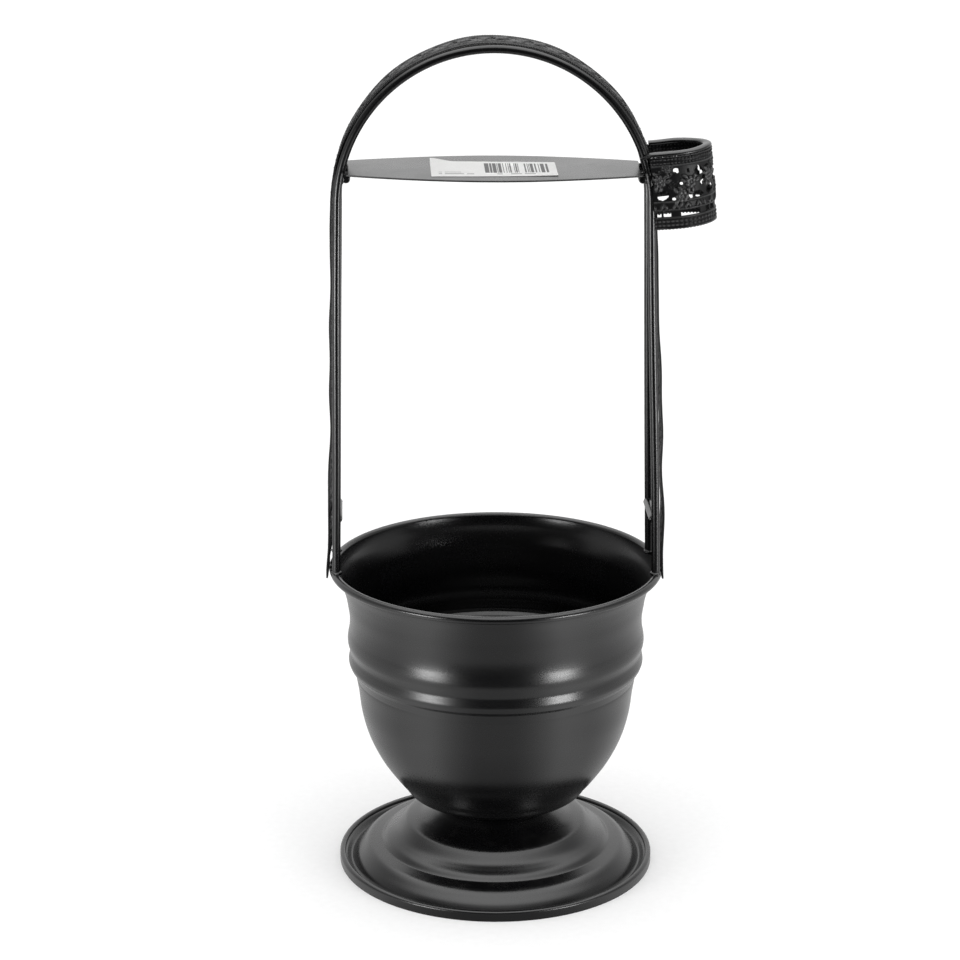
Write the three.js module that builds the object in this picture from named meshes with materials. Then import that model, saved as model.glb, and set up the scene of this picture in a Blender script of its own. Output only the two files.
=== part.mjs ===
// Footed metal florist bucket: a spun urn on a bell foot, with a tall two-rod arch handle.
// A stamped ribbon runs along the outside of the handle, a tray spans it near the top, and a
// small D-shaped holder stands out from its right side. Everything is painted sheet or rod.
// Units are millimetres and +Z is up. Left is -X, right is +X, and the front is -Y. Sizes are
// drawn from the urn's axis; the finished bucket is then moved along X so that the bottom
// centre of its bounding box is the origin.

import * as THREE from 'three';

// ---- Driving dimensions -------------------------------------------------------------------

const sheet = 0.8;              // wall of the urn and of the foot
const gap = 0.3;                // clearance kept between neighbouring pieces
const turns = 36;               // flat sides used for each round of a spun piece
const rodSteps = 48;            // straight lengths in a handle rod
const ribbonSteps = 56;

const rimRadius = 100;          // outside of the urn's rolled rim
const rimTop = 191.6;
const rimRoll = 2.35;           // outside radius of the roll itself
const seatHeight = 37;          // underside of the urn, where it sits on the foot

const footRadius = 96;
const footHemHeight = 6.3;
const footHemWidth = 3.5;

const rodRadius = 2.45;
const footSpacing = 42;         // front rod to back rod on the rim, centre to centre
const archSpacing = 30;         // the same in the arch; the legs narrow evenly between
const archRadius = 91;          // to the rods' centre line
const archCentreHeight = 411.5;
const ribbonWidth = 30;
const ribbonThickness = 0.8;
const ribbonEnd = 186;          // the ribbon stops here, at the underside of the rim's roll
const ribbonKickStart = 8;      // above its end, the ribbon is bent fully out over the rim
const ribbonKickLength = 160;   // and comes back against the rods over this height

const barSides = 12;
const lowerBraceHeight = 224;
const lowerBraceInset = 1;      // towards the urn's axis from the rods' centre line
const trayTop = 431.6;
const traySheet = 1;
const trayHalfLength = 85.4;
const trayEndHalfWidth = 22.3;
const trayMidHalfWidth = 37.8;

const labelSize = [73, 43];
const labelCentre = [-2, -4];
const labelTurn = -1;           // degrees, as stuck on by hand
const labelThickness = 0.15;
const labelGap = 0.05;

const cupReach = 126;           // how far right the holder's round end comes
const cupRoundLength = 24;      // the round end is half an oval this long
const cupStart = 89.5;          // the band's ends lie on the outer sides of the rods
const cupSheet = 0.8;
const cupClearance = 1.3;       // rod to band, so that the tipped band stays clear of both rods
const cupMiddleHeight = 421.2;
const cupBandHeight = 43;
const cupRingWidth = 5.3;
const cupRingThickness = 2.4;
const cupRingStart = 95.5;
const cupLean = 5.5;            // degrees, its free end stands a little high
const cupNod = 1.7;             // degrees, its front edge sits a little low

// ---- Materials ----------------------------------------------------------------------------

function paint(roughness) {
  return new THREE.MeshStandardMaterial({ color: 0x0b0b0c, roughness, metalness: 0.1 });
}

const satinPaint = paint(0.32);
const mattPaint = paint(0.55);
const paper = new THREE.MeshStandardMaterial({ color: 0xf1f1ef, roughness: 0.7, metalness: 0 });

// ---- Helpers ------------------------------------------------------------------------------

const degrees = THREE.MathUtils.degToRad;

// Points at even spacing along a smooth curve through a few outline points.
function smooth(outline, count) {
  const curve = new THREE.SplineCurve(outline.map(([r, z]) => new THREE.Vector2(r, z)));
  return curve.getSpacedPoints(count);
}

// Points along a circular arc from one angle to another, both in degrees.
function arc(centre, radius, from, to, count) {
  const points = [];
  for (let i = 0; i <= count; i += 1) {
    const angle = degrees(from + ((to - from) * i) / count);
    const r = centre[0] + radius * Math.cos(angle);
    const z = centre[1] + radius * Math.sin(angle);
    points.push(new THREE.Vector2(r, z));
  }
  return points;
}

// The two faces of a bent sheet, as lists of points half a thickness either side of its middle.
function sheetFaces(middle, thickness) {
  const left = [];
  const right = [];
  middle.forEach((point, i) => {
    const before = middle[Math.max(i - 1, 0)];
    const after = middle[Math.min(i + 1, middle.length - 1)];
    const along = after.clone().sub(before).normalize();
    const across = new THREE.Vector2(along.y, -along.x).multiplyScalar(thickness / 2);
    right.push(point.clone().add(across));
    left.push(point.clone().sub(across));
  });
  return { left, right };
}

// A spun sheet. Its middle line is drawn in radius and height. One that starts on the axis
// ends on it; any other closes on itself.
function spin(middle, thickness) {
  const { left, right } = sheetFaces(middle, thickness);
  const profile = [...right, ...left.reverse()];
  if (middle[0].x === 0) {
    profile[0].x = 0;
    profile[profile.length - 1].x = 0;
  } else {
    profile.push(profile[0].clone());
  }
  const geometry = new THREE.LatheGeometry(profile, turns);
  return geometry.rotateX(Math.PI / 2);
}

function piece(name, geometry, material) {
  const mesh = new THREE.Mesh(geometry, material);
  mesh.name = name;
  return mesh;
}

// ---- Urn ----------------------------------------------------------------------------------

// The wall rises from a flat base, carries two round ribs below a plain neck, and flares
// out to a rolled edge.
function bowlWall() {
  const floor = seatHeight + sheet / 2;
  const wall = smooth([
    [30, floor], [38, 40.6], [51.6, 46.4], [61.7, 58.2], [69.9, 70.2], [76.7, 84], [80.7, 98],
    [82.6, 112], [84, 121.5], [85.8, 126], [88.3, 130.8], [87.5, 137], [88.9, 144.8],
    [87.7, 152.5], [87.8, 160], [90, 173.5], [94.4, 185],
  ], 36);
  const rollCentre = [rimRadius - rimRoll, rimTop - rimRoll];
  const roll = arc(rollCentre, rimRoll - sheet / 2, 180, -110, 8);
  return [new THREE.Vector2(0, floor), ...wall, ...roll];
}

function bowl() {
  return piece('bowl', spin(bowlWall(), sheet), satinPaint);
}

// ---- Foot ---------------------------------------------------------------------------------

// A bell: a seat ring under the urn, a narrow neck, two steps, a flat shelf, a dome, and
// a groove inside a folded hem that stands on the floor.
function footWall() {
  const seat = seatHeight - gap - sheet / 2;
  const bell = smooth([
    [16, seat], [31, seat], [35.5, 34.4], [42, 30.2], [51, 27.4], [54.6, 26.2], [60.2, 20.5],
    [66.8, 15.8], [69.9, 12.8], [77.5, 11.6], [82.1, 7.8], [85.4, 4], [86.9, 1.7],
    [90.4, 1.3],
  ], 26);
  const hemRadius = footHemWidth / 2 - sheet / 2;
  const hemCentre = footRadius - footHemWidth / 2;
  const hem = arc([hemCentre, footHemHeight - footHemWidth / 2], hemRadius, 180, 0, 6);
  const outerFoot = new THREE.Vector2(hemCentre + hemRadius, 0);
  return [...bell, ...hem, outerFoot];
}

function pedestal() {
  return piece('pedestal', spin(footWall(), sheet), satinPaint);
}

// ---- Handle -------------------------------------------------------------------------------

// The handle seen from the front: a half-round arch whose legs spread slightly to stand on the
// rim's roll. The same path, moved outward, carries the ribbon.
const rollCentreRadius = rimRadius - rimRoll;
const footingX = Math.sqrt(rollCentreRadius ** 2 - (footSpacing / 2) ** 2);
const footingZ = rimTop + gap;
const legSpread = Math.atan((footingX - archRadius) / (archCentreHeight - footingZ));

function legX(height) {
  return archRadius + (archCentreHeight - height) * Math.tan(legSpread);
}

// Distance of a rod's centre line from the XZ plane.
function rodY(height) {
  const down = THREE.MathUtils.clamp((archCentreHeight - height) / (archCentreHeight - footingZ), 0, 1);
  return THREE.MathUtils.lerp(archSpacing, footSpacing, down) / 2;
}

class HandlePath extends THREE.Curve {
  constructor({ side, outward, bottom, kick }) {
    super();
    this.side = side;           // -1 for the front rod, 1 for the back rod, 0 between them
    this.outward = outward;
    this.bottom = bottom;
    this.kick = kick;           // how far the ends bend further out
    this.leg = archCentreHeight - bottom;
    this.arch = Math.PI * (archRadius + outward);
    this.total = 2 * this.leg + this.arch;
  }

  getPoint(t, target = new THREE.Vector3()) {
    const run = Math.min(t, 1 - t) * this.total;
    const hand = t < 0.5 ? -1 : 1;
    if (run < this.leg) {
      const height = this.bottom + run;
      const kickTop = this.bottom + ribbonKickStart + ribbonKickLength;
      const bend = THREE.MathUtils.smoothstep(kickTop - height, 0, ribbonKickLength);
      const legOut = legX(height) + this.outward + this.kick * bend;
      return target.set(hand * legOut, this.side * rodY(height), height);
    }
    const angle = (run - this.leg) / (archRadius + this.outward);
    const radius = archRadius + this.outward;
    const height = archCentreHeight + radius * Math.sin(angle);
    return target.set(hand * radius * Math.cos(angle), this.side * rodY(height), height);
  }
}

function handleRod(name, side) {
  const section = new THREE.Shape();
  section.absarc(0, 0, rodRadius, 0, 2 * Math.PI, false);
  const path = new HandlePath({ side, outward: 0, bottom: footingZ, kick: 0 });
  const settings = { steps: rodSteps, extrudePath: path, curveSegments: 5 };
  return piece(name, new THREE.ExtrudeGeometry(section, settings), satinPaint);
}

function handleRibbon() {
  const half = [ribbonWidth / 2, ribbonThickness / 2];
  const section = new THREE.Shape();
  section.moveTo(-half[0], -half[1]);
  section.lineTo(half[0], -half[1]);
  section.lineTo(half[0], half[1]);
  section.lineTo(-half[0], half[1]);
  section.closePath();
  const outward = rodRadius + gap + ribbonThickness / 2;
  const clearOfRim = rimRadius + gap + ribbonThickness / 2;
  const kick = clearOfRim - (legX(rimTop) + outward);
  const path = new HandlePath({ side: 0, outward, bottom: ribbonEnd, kick });
  const settings = { steps: ribbonSteps, extrudePath: path };
  return piece('handle_ribbon', new THREE.ExtrudeGeometry(section, settings), mattPaint);
}

// ---- Cross bars ---------------------------------------------------------------------------

function crossBar(name, x, z, length) {
  const geometry = new THREE.CylinderGeometry(rodRadius, rodRadius, length, barSides);
  const mesh = piece(name, geometry, satinPaint);
  mesh.position.set(x, 0, z);
  return mesh;
}

// Lower braces stand between the front and back rods; tray bars lie against their inner sides.
function crossBars() {
  const braceX = legX(lowerBraceHeight) - lowerBraceInset;
  const braceLength = 2 * (rodY(lowerBraceHeight) - rodRadius - gap);
  const barHeight = trayTop - traySheet - gap - rodRadius;
  const rodAtBar = Math.sqrt(archRadius ** 2 - (trayTop - archCentreHeight) ** 2);
  const barX = rodAtBar - 2 * rodRadius - gap;
  const barLength = archSpacing + 2 * rodRadius;
  return [
    crossBar('lower_brace_left', -braceX, lowerBraceHeight, braceLength),
    crossBar('lower_brace_right', braceX, lowerBraceHeight, braceLength),
    crossBar('tray_bar_left', -barX, barHeight, barLength),
    crossBar('tray_bar_right', barX, barHeight, barLength),
  ];
}

// ---- Tray and its label -------------------------------------------------------------------

// The long sides are arcs through the two end corners and the widest point.
function trayOutline() {
  const rise = trayMidHalfWidth - trayEndHalfWidth;
  const radius = (trayHalfLength ** 2 + rise ** 2) / (2 * rise);
  const sweep = Math.asin(trayHalfLength / radius);
  const centreY = trayMidHalfWidth - radius;
  const outline = new THREE.Shape();
  outline.absarc(0, centreY, radius, Math.PI / 2 - sweep, Math.PI / 2 + sweep, false);
  outline.absarc(0, -centreY, radius, -Math.PI / 2 - sweep, -Math.PI / 2 + sweep, false);
  outline.closePath();
  return outline;
}

function tray() {
  const settings = { depth: traySheet, bevelEnabled: false, curveSegments: 16 };
  const mesh = piece('tray', new THREE.ExtrudeGeometry(trayOutline(), settings), satinPaint);
  mesh.position.z = trayTop - traySheet;
  return mesh;
}

function trayLabel() {
  const geometry = new THREE.BoxGeometry(labelSize[0], labelSize[1], labelThickness);
  const mesh = piece('tray_label', geometry, paper);
  mesh.position.set(labelCentre[0], labelCentre[1], trayTop + labelGap + labelThickness / 2);
  mesh.rotation.z = degrees(labelTurn);
  return mesh;
}

// ---- Side holder --------------------------------------------------------------------------

// A strip bent to a U seen from above, open towards the handle and lapping the rods' outer
// sides. It ends in half an oval.
const cupHalfWidth = archSpacing / 2 + rodRadius + cupClearance + cupSheet;
const cupCentreX = cupReach - cupRoundLength;

function uStrip(start, width) {
  const quarter = Math.PI / 2;
  const inner = cupHalfWidth - width;
  const strip = new THREE.Shape();
  strip.moveTo(start, -cupHalfWidth);
  strip.lineTo(cupCentreX, -cupHalfWidth);
  strip.absellipse(cupCentreX, 0, cupRoundLength, cupHalfWidth, -quarter, quarter, false);
  strip.lineTo(start, cupHalfWidth);
  strip.lineTo(start, inner);
  strip.lineTo(cupCentreX, inner);
  strip.absellipse(cupCentreX, 0, cupRoundLength - width, inner, quarter, -quarter, true);
  strip.lineTo(start, -inner);
  strip.closePath();
  return strip;
}

function standingStrip(start, width, height) {
  const settings = { depth: height, bevelEnabled: false, curveSegments: 12 };
  return new THREE.ExtrudeGeometry(uStrip(start, width), settings);
}

// The band and the flat ring on top of it are tipped together about the band's middle.
function sideHolder() {
  const band = standingStrip(cupStart, cupSheet, cupBandHeight);
  band.translate(-cupCentreX, 0, -cupBandHeight / 2);
  const ring = standingStrip(cupRingStart, cupRingWidth, cupRingThickness);
  ring.translate(-cupCentreX, 0, cupBandHeight / 2 + gap);
  const holder = new THREE.Group();
  holder.add(piece('cup_band', band, mattPaint), piece('cup_ring', ring, satinPaint));
  holder.position.set(cupCentreX, 0, cupMiddleHeight);
  holder.rotation.set(degrees(cupNod), degrees(-cupLean), 0);
  return holder;
}

// ---- Whole object -------------------------------------------------------------------------

const bucket = new THREE.Group();
bucket.add(bowl(), pedestal());
bucket.add(handleRod('handle_rod_front', -1));
bucket.add(handleRod('handle_rod_back', 1));
bucket.add(handleRibbon(), ...crossBars());
bucket.add(tray(), trayLabel(), sideHolder());

const box = new THREE.Box3().setFromObject(bucket, true);
bucket.position.x = -box.getCenter(new THREE.Vector3()).x;

export default bucket;
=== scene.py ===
"""Looks for a footed metal florist bucket: fine meshes, paint and paper materials, studio, camera.

Shapes are worked out in millimetres from the urn's axis and the floor. They become metres in the
CAD model's frame when a mesh is made. Left is -X, right is +X, the front is -Y and +Z is up.
"""

import math

import bpy
import numpy as np
from mathutils import Matrix, Vector


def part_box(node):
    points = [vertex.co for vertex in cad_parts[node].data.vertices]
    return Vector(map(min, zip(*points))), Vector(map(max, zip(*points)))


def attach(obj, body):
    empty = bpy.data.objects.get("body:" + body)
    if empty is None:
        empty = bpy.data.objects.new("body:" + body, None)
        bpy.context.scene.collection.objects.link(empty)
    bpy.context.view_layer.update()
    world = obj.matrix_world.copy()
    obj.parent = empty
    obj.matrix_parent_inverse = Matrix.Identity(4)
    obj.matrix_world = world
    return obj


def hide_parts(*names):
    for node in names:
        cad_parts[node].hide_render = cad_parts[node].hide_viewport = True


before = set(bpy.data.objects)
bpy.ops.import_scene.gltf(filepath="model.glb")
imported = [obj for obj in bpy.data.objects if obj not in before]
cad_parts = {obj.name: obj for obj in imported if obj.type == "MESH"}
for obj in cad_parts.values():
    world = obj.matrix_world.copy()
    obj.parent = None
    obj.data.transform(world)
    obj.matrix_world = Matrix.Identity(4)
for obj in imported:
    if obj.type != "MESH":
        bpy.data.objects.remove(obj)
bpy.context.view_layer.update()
MM = 0.001

bowl_low, bowl_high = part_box("bowl")
URN_AXIS = Vector(((bowl_low[0] + bowl_high[0]) / 2, 0.0, 0.0))


def box_mm(node):
    """A CAD node's lowest and highest corner, in millimetres from the urn's axis and the floor."""
    low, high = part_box(node)
    return (np.array(low) - URN_AXIS) / MM, (np.array(high) - URN_AXIS) / MM


# ---- Sizes read from the frame ---------------------------------------------------------------

BOWL_LOW, BOWL_HIGH = box_mm("bowl")
FOOT_HIGH = box_mm("pedestal")[1]
ROD_LOW, ROD_HIGH = box_mm("handle_rod_front")
RIBBON_LOW, RIBBON_HIGH = box_mm("handle_ribbon")
TRAY_LOW, TRAY_HIGH = box_mm("tray")
BAR_LOW, BAR_HIGH = box_mm("tray_bar_right")
BRACE_LOW, BRACE_HIGH = box_mm("lower_brace_right")
CUP_LOW, CUP_HIGH = box_mm("cup_band")

RIM_RADIUS = BOWL_HIGH[1]
RIM_TOP = BOWL_HIGH[2]
SEAT = BOWL_LOW[2]
FOOT_RADIUS = FOOT_HIGH[1]
ROD_RADIUS = 2.45
FOOT_Y = -ROD_LOW[1] - ROD_RADIUS     # a rod's centre line from the middle plane, on the rim
ARCH_Y = -ROD_HIGH[1] + ROD_RADIUS    # and in the arch
ROD_FOOT = ROD_LOW[2]
RIBBON_END = RIBBON_LOW[2]
RIBBON_WIDTH = RIBBON_HIGH[1] - RIBBON_LOW[1]
TRAY_TOP = TRAY_HIGH[2]

CUP_MIDDLE = (CUP_LOW[2] + CUP_HIGH[2]) / 2

# ---- Other sizes -----------------------------------------------------------------------------

SHEET = 0.8                    # wall of the spun urn and foot
RIM_ROLL = 2.35                # outside radius of the rolled rim
ARCH_RADIUS = 91.0             # rods' centre line
ARCH_CENTRE = ROD_HIGH[2] - ROD_RADIUS - ARCH_RADIUS
SPIN_STEPS = 180               # divisions of each round


# ---- Small geometry helpers ------------------------------------------------------------------

def smooth_line(points, spacing):
    """Points at about even spacing on a Catmull-Rom curve through the outline points."""
    p = np.array(points, float)
    p = np.vstack([2 * p[0] - p[1], p, 2 * p[-1] - p[-2]])
    out = []
    for i in range(1, len(p) - 2):
        a, b, c, d = p[i - 1], p[i], p[i + 1], p[i + 2]
        count = max(2, int(np.ceil(np.linalg.norm(c - b) / spacing)))
        for t in np.arange(count)[:, None] / count:
            out.append(0.5 * (2 * b + (c - a) * t + (2 * a - 5 * b + 4 * c - d) * t ** 2
                              + (3 * b - a - 3 * c + d) * t ** 3))
    out.append(p[-2])
    return np.array(out)


def arc_line(centre, radius, start, stop, count):
    """Points on a circular arc, angles in degrees."""
    a = np.radians(np.linspace(start, stop, count))
    return np.column_stack([centre[0] + radius * np.cos(a), centre[1] + radius * np.sin(a)])


def ease(x, low, high):
    """0 below low, 1 above high, smooth between."""
    t = np.clip((x - low) / (high - low), 0, 1)
    return t * t * (3 - 2 * t)


def make_mesh(name, verts_mm, faces, material, replaces=(), crease=40):
    """A finished piece: mesh in metres, smooth shaded, riding on the one body."""
    mesh = bpy.data.meshes.new(name)
    verts = np.asarray(verts_mm) * MM + np.array(URN_AXIS)
    mesh.from_pydata([tuple(v) for v in verts], [], [list(f) for f in faces])
    mesh.validate()
    mesh.shade_smooth()
    mesh.set_sharp_from_angle(angle=math.radians(crease))
    obj = bpy.data.objects.new(name, mesh)
    bpy.context.scene.collection.objects.link(obj)
    mesh.materials.append(material)
    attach(obj, "root")
    if replaces:
        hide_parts(*replaces)
    return obj


def grid_faces(rows, columns, close_rows=False, close_columns=False):
    """Quads of a grid whose vertices are numbered row by row."""
    faces = []
    for i in range(rows if close_rows else rows - 1):
        for j in range(columns if close_columns else columns - 1):
            a = i * columns + j
            b = i * columns + (j + 1) % columns
            c = ((i + 1) % rows) * columns + (j + 1) % columns
            d = ((i + 1) % rows) * columns + j
            faces.append((a, b, c, d))
    return faces


def grid_border(columns, rows):
    """Numbers of the vertices round the edge of a grid, in order."""
    border = [i * rows for i in range(columns)]
    border += [(columns - 1) * rows + j for j in range(1, rows)]
    border += [i * rows + rows - 1 for i in range(columns - 2, -1, -1)]
    border += [j for j in range(rows - 2, 0, -1)]
    return border


def spin(profile, on_axis):
    """Turns a profile of radius and height. One on the axis starts and ends there."""
    angles = np.arange(SPIN_STEPS) * 2 * np.pi / SPIN_STEPS
    ring = profile[1:-1] if on_axis else profile
    r, z = ring[:, 0:1], ring[:, 1:2]
    x, y = r * np.cos(angles), r * np.sin(angles)
    verts = np.stack([x, y, np.broadcast_to(z, x.shape)], -1).reshape(-1, 3)
    faces = grid_faces(len(ring), SPIN_STEPS, close_rows=not on_axis, close_columns=True)
    if on_axis:
        first, last = len(verts), len(verts) + 1
        verts = np.vstack([verts, [0, 0, profile[0, 1]], [0, 0, profile[-1, 1]]])
        final = (len(ring) - 1) * SPIN_STEPS
        for j in range(SPIN_STEPS):
            k = (j + 1) % SPIN_STEPS
            faces.append((first, k, j))
            faces.append((last, final + j, final + k))
    return verts, faces


def sheet_loop(middle, thickness):
    """Both faces of a bent sheet: the right one along its middle line, the left one back."""
    along = np.gradient(middle, axis=0)
    along /= np.linalg.norm(along, axis=1)[:, None]
    across = np.column_stack([along[:, 1], -along[:, 0]]) * thickness / 2
    return middle + across, (middle - across)[::-1]


# ---- Handle path -----------------------------------------------------------------------------

ROLL_CENTRE = RIM_RADIUS - RIM_ROLL
FOOTING_X = math.sqrt(ROLL_CENTRE ** 2 - FOOT_Y ** 2)
LEG_SPREAD = (FOOTING_X - ARCH_RADIUS) / (ARCH_CENTRE - ROD_FOOT)

# What welding by hand left in the handle.
LEAN_LEFT = 0.5                # all of it leans left by this
LEAN_ARCH = 0.7                # its upper part by this much more
LEAN_RIGHT_LEG = 0.45          # and its right leg by twice this again
LEAN_HALF_WIDTH = 90.0         # where a leg counts as fully left or right
TWIST_ARCH = 0.6               # share of the rim's twist that is gone in the arch


def leg_x(height):
    """A leg's distance from the urn's axis: the legs spread towards the rim."""
    return ARCH_RADIUS + (ARCH_CENTRE - height) * LEG_SPREAD


def rod_y(height):
    """A rod's distance from the handle's middle plane: wide on the rim, narrow in the arch."""
    down = np.clip((ARCH_CENTRE - height) / (ARCH_CENTRE - ROD_FOOT), 0, 1)
    return ARCH_Y + (FOOT_Y - ARCH_Y) * down


def settle(points, twist=1.0):
    """Moves handle points by the lean, and by a twist in millimetres at the rim."""
    points = np.array(points, float)
    x, y, z = points.T
    lean = -LEAN_LEFT - LEAN_ARCH * ease(z, 200, 370)
    lean = lean - LEAN_RIGHT_LEG * (1 + np.clip(x / LEAN_HALF_WIDTH, -1, 1))
    turn = twist * (1.0 - TWIST_ARCH * ease(z, 230, 400))
    points[:, 0] += lean - turn * y / rod_y(z)
    return points


def handle_line(outward, bottom, extra=None, spacing=1.0):
    """Points in XZ up the left leg, over the arch and down the right leg.

    extra(height, side) moves a leg point further outward.
    """
    leg = np.arange(bottom, ARCH_CENTRE, spacing)
    shift_left = extra(leg, -1) if extra else 0
    shift_right = extra(leg, 1) if extra else 0
    left = np.column_stack([-(leg_x(leg) + outward + shift_left), leg])
    right = np.column_stack([leg_x(leg) + outward + shift_right, leg])[::-1]
    radius = ARCH_RADIUS + outward
    angle = np.linspace(np.pi, 0, int(np.pi * radius / spacing))
    arch = np.column_stack([radius * np.cos(angle), ARCH_CENTRE + radius * np.sin(angle)])
    return np.vstack([left, arch, right])


def outward_normals(line):
    """Unit normals of a line in XZ that runs over the arch from left to right."""
    along = np.gradient(line, axis=0)
    along /= np.linalg.norm(along, axis=1)[:, None]
    return np.column_stack([-along[:, 1], along[:, 0]])


def resample(line, count):
    """Even spacing along a polyline, and its length."""
    step = np.linalg.norm(np.diff(line, axis=0), axis=1)
    run = np.concatenate([[0], np.cumsum(step)])
    at = np.linspace(0, run[-1], count)
    return np.column_stack([np.interp(at, run, line[:, k]) for k in range(line.shape[1])]), run[-1]


# ---- Materials -------------------------------------------------------------------------------

class Nodes:
    """Short calls for building a node tree."""

    def __init__(self, tree):
        self.tree = tree

    def add(self, kind, inputs=None, **settings):
        node = self.tree.nodes.new(kind)
        for key, value in settings.items():
            setattr(node, key, value)
        for key, value in (inputs or {}).items():
            self.put(node, key, value)
        return node

    def put(self, node, key, value):
        socket = node.inputs[key]
        if isinstance(value, bpy.types.NodeSocket):
            self.tree.links.new(value, socket)
        else:
            socket.default_value = value

    def math(self, operation, a, b=0.0, c=0.0):
        node = self.add("ShaderNodeMath", {0: a, 1: b, 2: c}, operation=operation)
        return node.outputs[0]

    def times(self, a, b):
        return self.math("MULTIPLY", a, b)

    def within(self, value, low, high):
        """1 between low and high, 0 elsewhere."""
        return self.times(self.math("GREATER_THAN", value, low), self.math("LESS_THAN", value, high))

    def remap(self, value, low, high, to_low, to_high, shape="LINEAR"):
        inputs = {"Value": value, "From Min": low, "From Max": high}
        inputs.update({"To Min": to_low, "To Max": to_high})
        return self.add("ShaderNodeMapRange", inputs, interpolation_type=shape).outputs["Result"]


class Finish(Nodes):
    """A material's nodes, round its one shader."""

    def __init__(self, name):
        self.material = bpy.data.materials.new(name)
        self.material.use_nodes = True
        super().__init__(self.material.node_tree)
        self.shader = self.tree.nodes["Principled BSDF"]
        self.place = self.add("ShaderNodeTexCoord").outputs["Object"]

    def noise(self, scale, detail=4.0, roughness=0.55):
        inputs = {"Vector": self.place, "Scale": scale, "Detail": detail, "Roughness": roughness}
        return self.add("ShaderNodeTexNoise", inputs).outputs["Fac"]

    def mix(self, factor, a, b):
        node = self.add("ShaderNodeMix", data_type="RGBA")
        self.put(node, 0, factor)
        self.put(node, 6, a)
        self.put(node, 7, b)
        return node.outputs[2]

    def bump(self, height, strength, distance, normal=None):
        inputs = {"Height": height, "Strength": strength, "Distance": distance}
        if normal is not None:
            inputs["Normal"] = normal
        return self.add("ShaderNodeBump", inputs).outputs["Normal"]

    def finish(self, **inputs):
        for key, value in inputs.items():
            self.put(self.shader, key.replace("_", " "), value)
        return self.material


DUST_COLOUR = (0.05, 0.048, 0.045, 1)
# Painted shade for the hollows of stamped sheet.
HOLLOW_SHADE_COLOUR = (0.0015, 0.0015, 0.0018, 1)
INK_COLOUR = (0.02, 0.02, 0.022, 1)
PAPER_DULL = (0.74, 0.74, 0.73, 1)
PAPER_BRIGHT = (0.83, 0.83, 0.82, 1)


def black_paint(name, colour, roughness, peel, grain, stamped=False):
    """Sprayed black paint: orange peel, fine grain, uneven sheen, dust on faces that look up.

    On stamped sheet the hollows get painted shade: a darker colour and less shine than on the raised
    pattern.
    """
    n = Finish(name)
    cloud = n.noise(14.0, 3.0)
    fine = n.noise(900.0, 3.0, 0.6)
    speck = n.noise(2600.0, 2.0, 0.5)
    sheen = n.remap(cloud, 0.3, 0.7, roughness - 0.035, roughness + 0.045)
    sheen = n.math("ADD", sheen, n.remap(fine, 0.3, 0.7, -0.02, 0.02))
    facing = n.add("ShaderNodeNewGeometry").outputs["Normal"]
    up = n.add("ShaderNodeSeparateXYZ", {0: facing}).outputs["Z"]
    patches = n.remap(n.noise(60.0, 6.0, 0.7), 0.5, 0.78, 0.0, 1.0)
    dust = n.times(n.remap(up, 0.35, 1.0, 0.0, 0.1), patches)
    faded = [c * 1.35 for c in colour]
    base = n.mix(n.remap(cloud, 0.3, 0.7, 0.0, 1.0), (*colour, 1), (*faded, 1))
    base = n.mix(dust, base, DUST_COLOUR)
    normal = n.bump(n.noise(380.0, 2.0, 0.4), peel, 0.0006)
    normal = n.bump(speck, grain, 0.0002, normal)
    gloss = 0.5
    # Painted shade: a darker colour and less shine in the hollows, more shine on the raised pattern.
    if stamped:
        raised = n.add("ShaderNodeAttribute", attribute_name="relief").outputs["Fac"]
        gloss = n.remap(raised, 0.2, 0.95, 0.2, 0.8)
        base = n.mix(n.remap(raised, 0.2, 0.9, 0.0, 1.0), HOLLOW_SHADE_COLOUR, base)
    sheen = n.math("ADD", sheen, n.times(dust, 0.5))
    return n.finish(Base_Color=base, Roughness=sheen, Normal=normal, Specular_IOR_Level=gloss)


def label_paper():
    """White sticker paper with random bars and short grey rules, placed by the sheet's own UV."""
    n = Finish("label_paper")
    uv = n.add("ShaderNodeTexCoord").outputs["UV"]
    sides = n.add("ShaderNodeSeparateXYZ", {0: uv}).outputs
    u, v = sides["X"], sides["Y"]

    def draw(columns):
        """A random value for each of this many columns across the sticker."""
        column = n.math("FLOOR", n.times(u, columns))
        return n.add("ShaderNodeTexWhiteNoise", {"W": column}, noise_dimensions="1D").outputs["Value"]

    bars = n.times(n.math("GREATER_THAN", draw(170.0), 0.4), n.within(u, 0.43, 0.94))
    bars = n.times(bars, n.within(v, 0.24, 0.88))
    breaks = draw(46.0)
    rules = n.times(n.math("GREATER_THAN", breaks, 0.2), n.within(u, 0.06, 0.34))
    short_rule = n.times(n.within(v, 0.26, 0.3), n.within(u, 0.06, 0.24))
    lines = n.math("ADD", n.within(v, 0.14, 0.2), short_rule)
    rules = n.times(n.times(rules, lines), 0.6)
    below = n.times(n.within(v, 0.13, 0.19), n.within(u, 0.5, 0.86))
    below = n.times(below, n.math("GREATER_THAN", breaks, 0.35))
    below = n.times(below, 0.6)
    ink = n.math("MINIMUM", n.math("ADD", n.math("ADD", bars, rules), below), 1.0)
    fibre = n.noise(1500.0, 4.0, 0.7)
    white = n.mix(n.remap(fibre, 0.35, 0.65, 0.0, 1.0), PAPER_DULL, PAPER_BRIGHT)
    base = n.mix(n.times(ink, 0.93), white, INK_COLOUR)
    rough = n.remap(fibre, 0.3, 0.7, 0.5, 0.68)
    return n.finish(Base_Color=base, Roughness=rough, Normal=n.bump(fibre, 0.12, 0.0002))


SATIN = black_paint("satin_black_paint", (0.0014, 0.0014, 0.0016), 0.265, 0.025, 0.03)
MATT = black_paint("matt_black_paint", (0.006, 0.006, 0.0064), 0.4, 0.12, 0.16, stamped=True)
PAPER = label_paper()


# ---- Urn -------------------------------------------------------------------------------------

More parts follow.
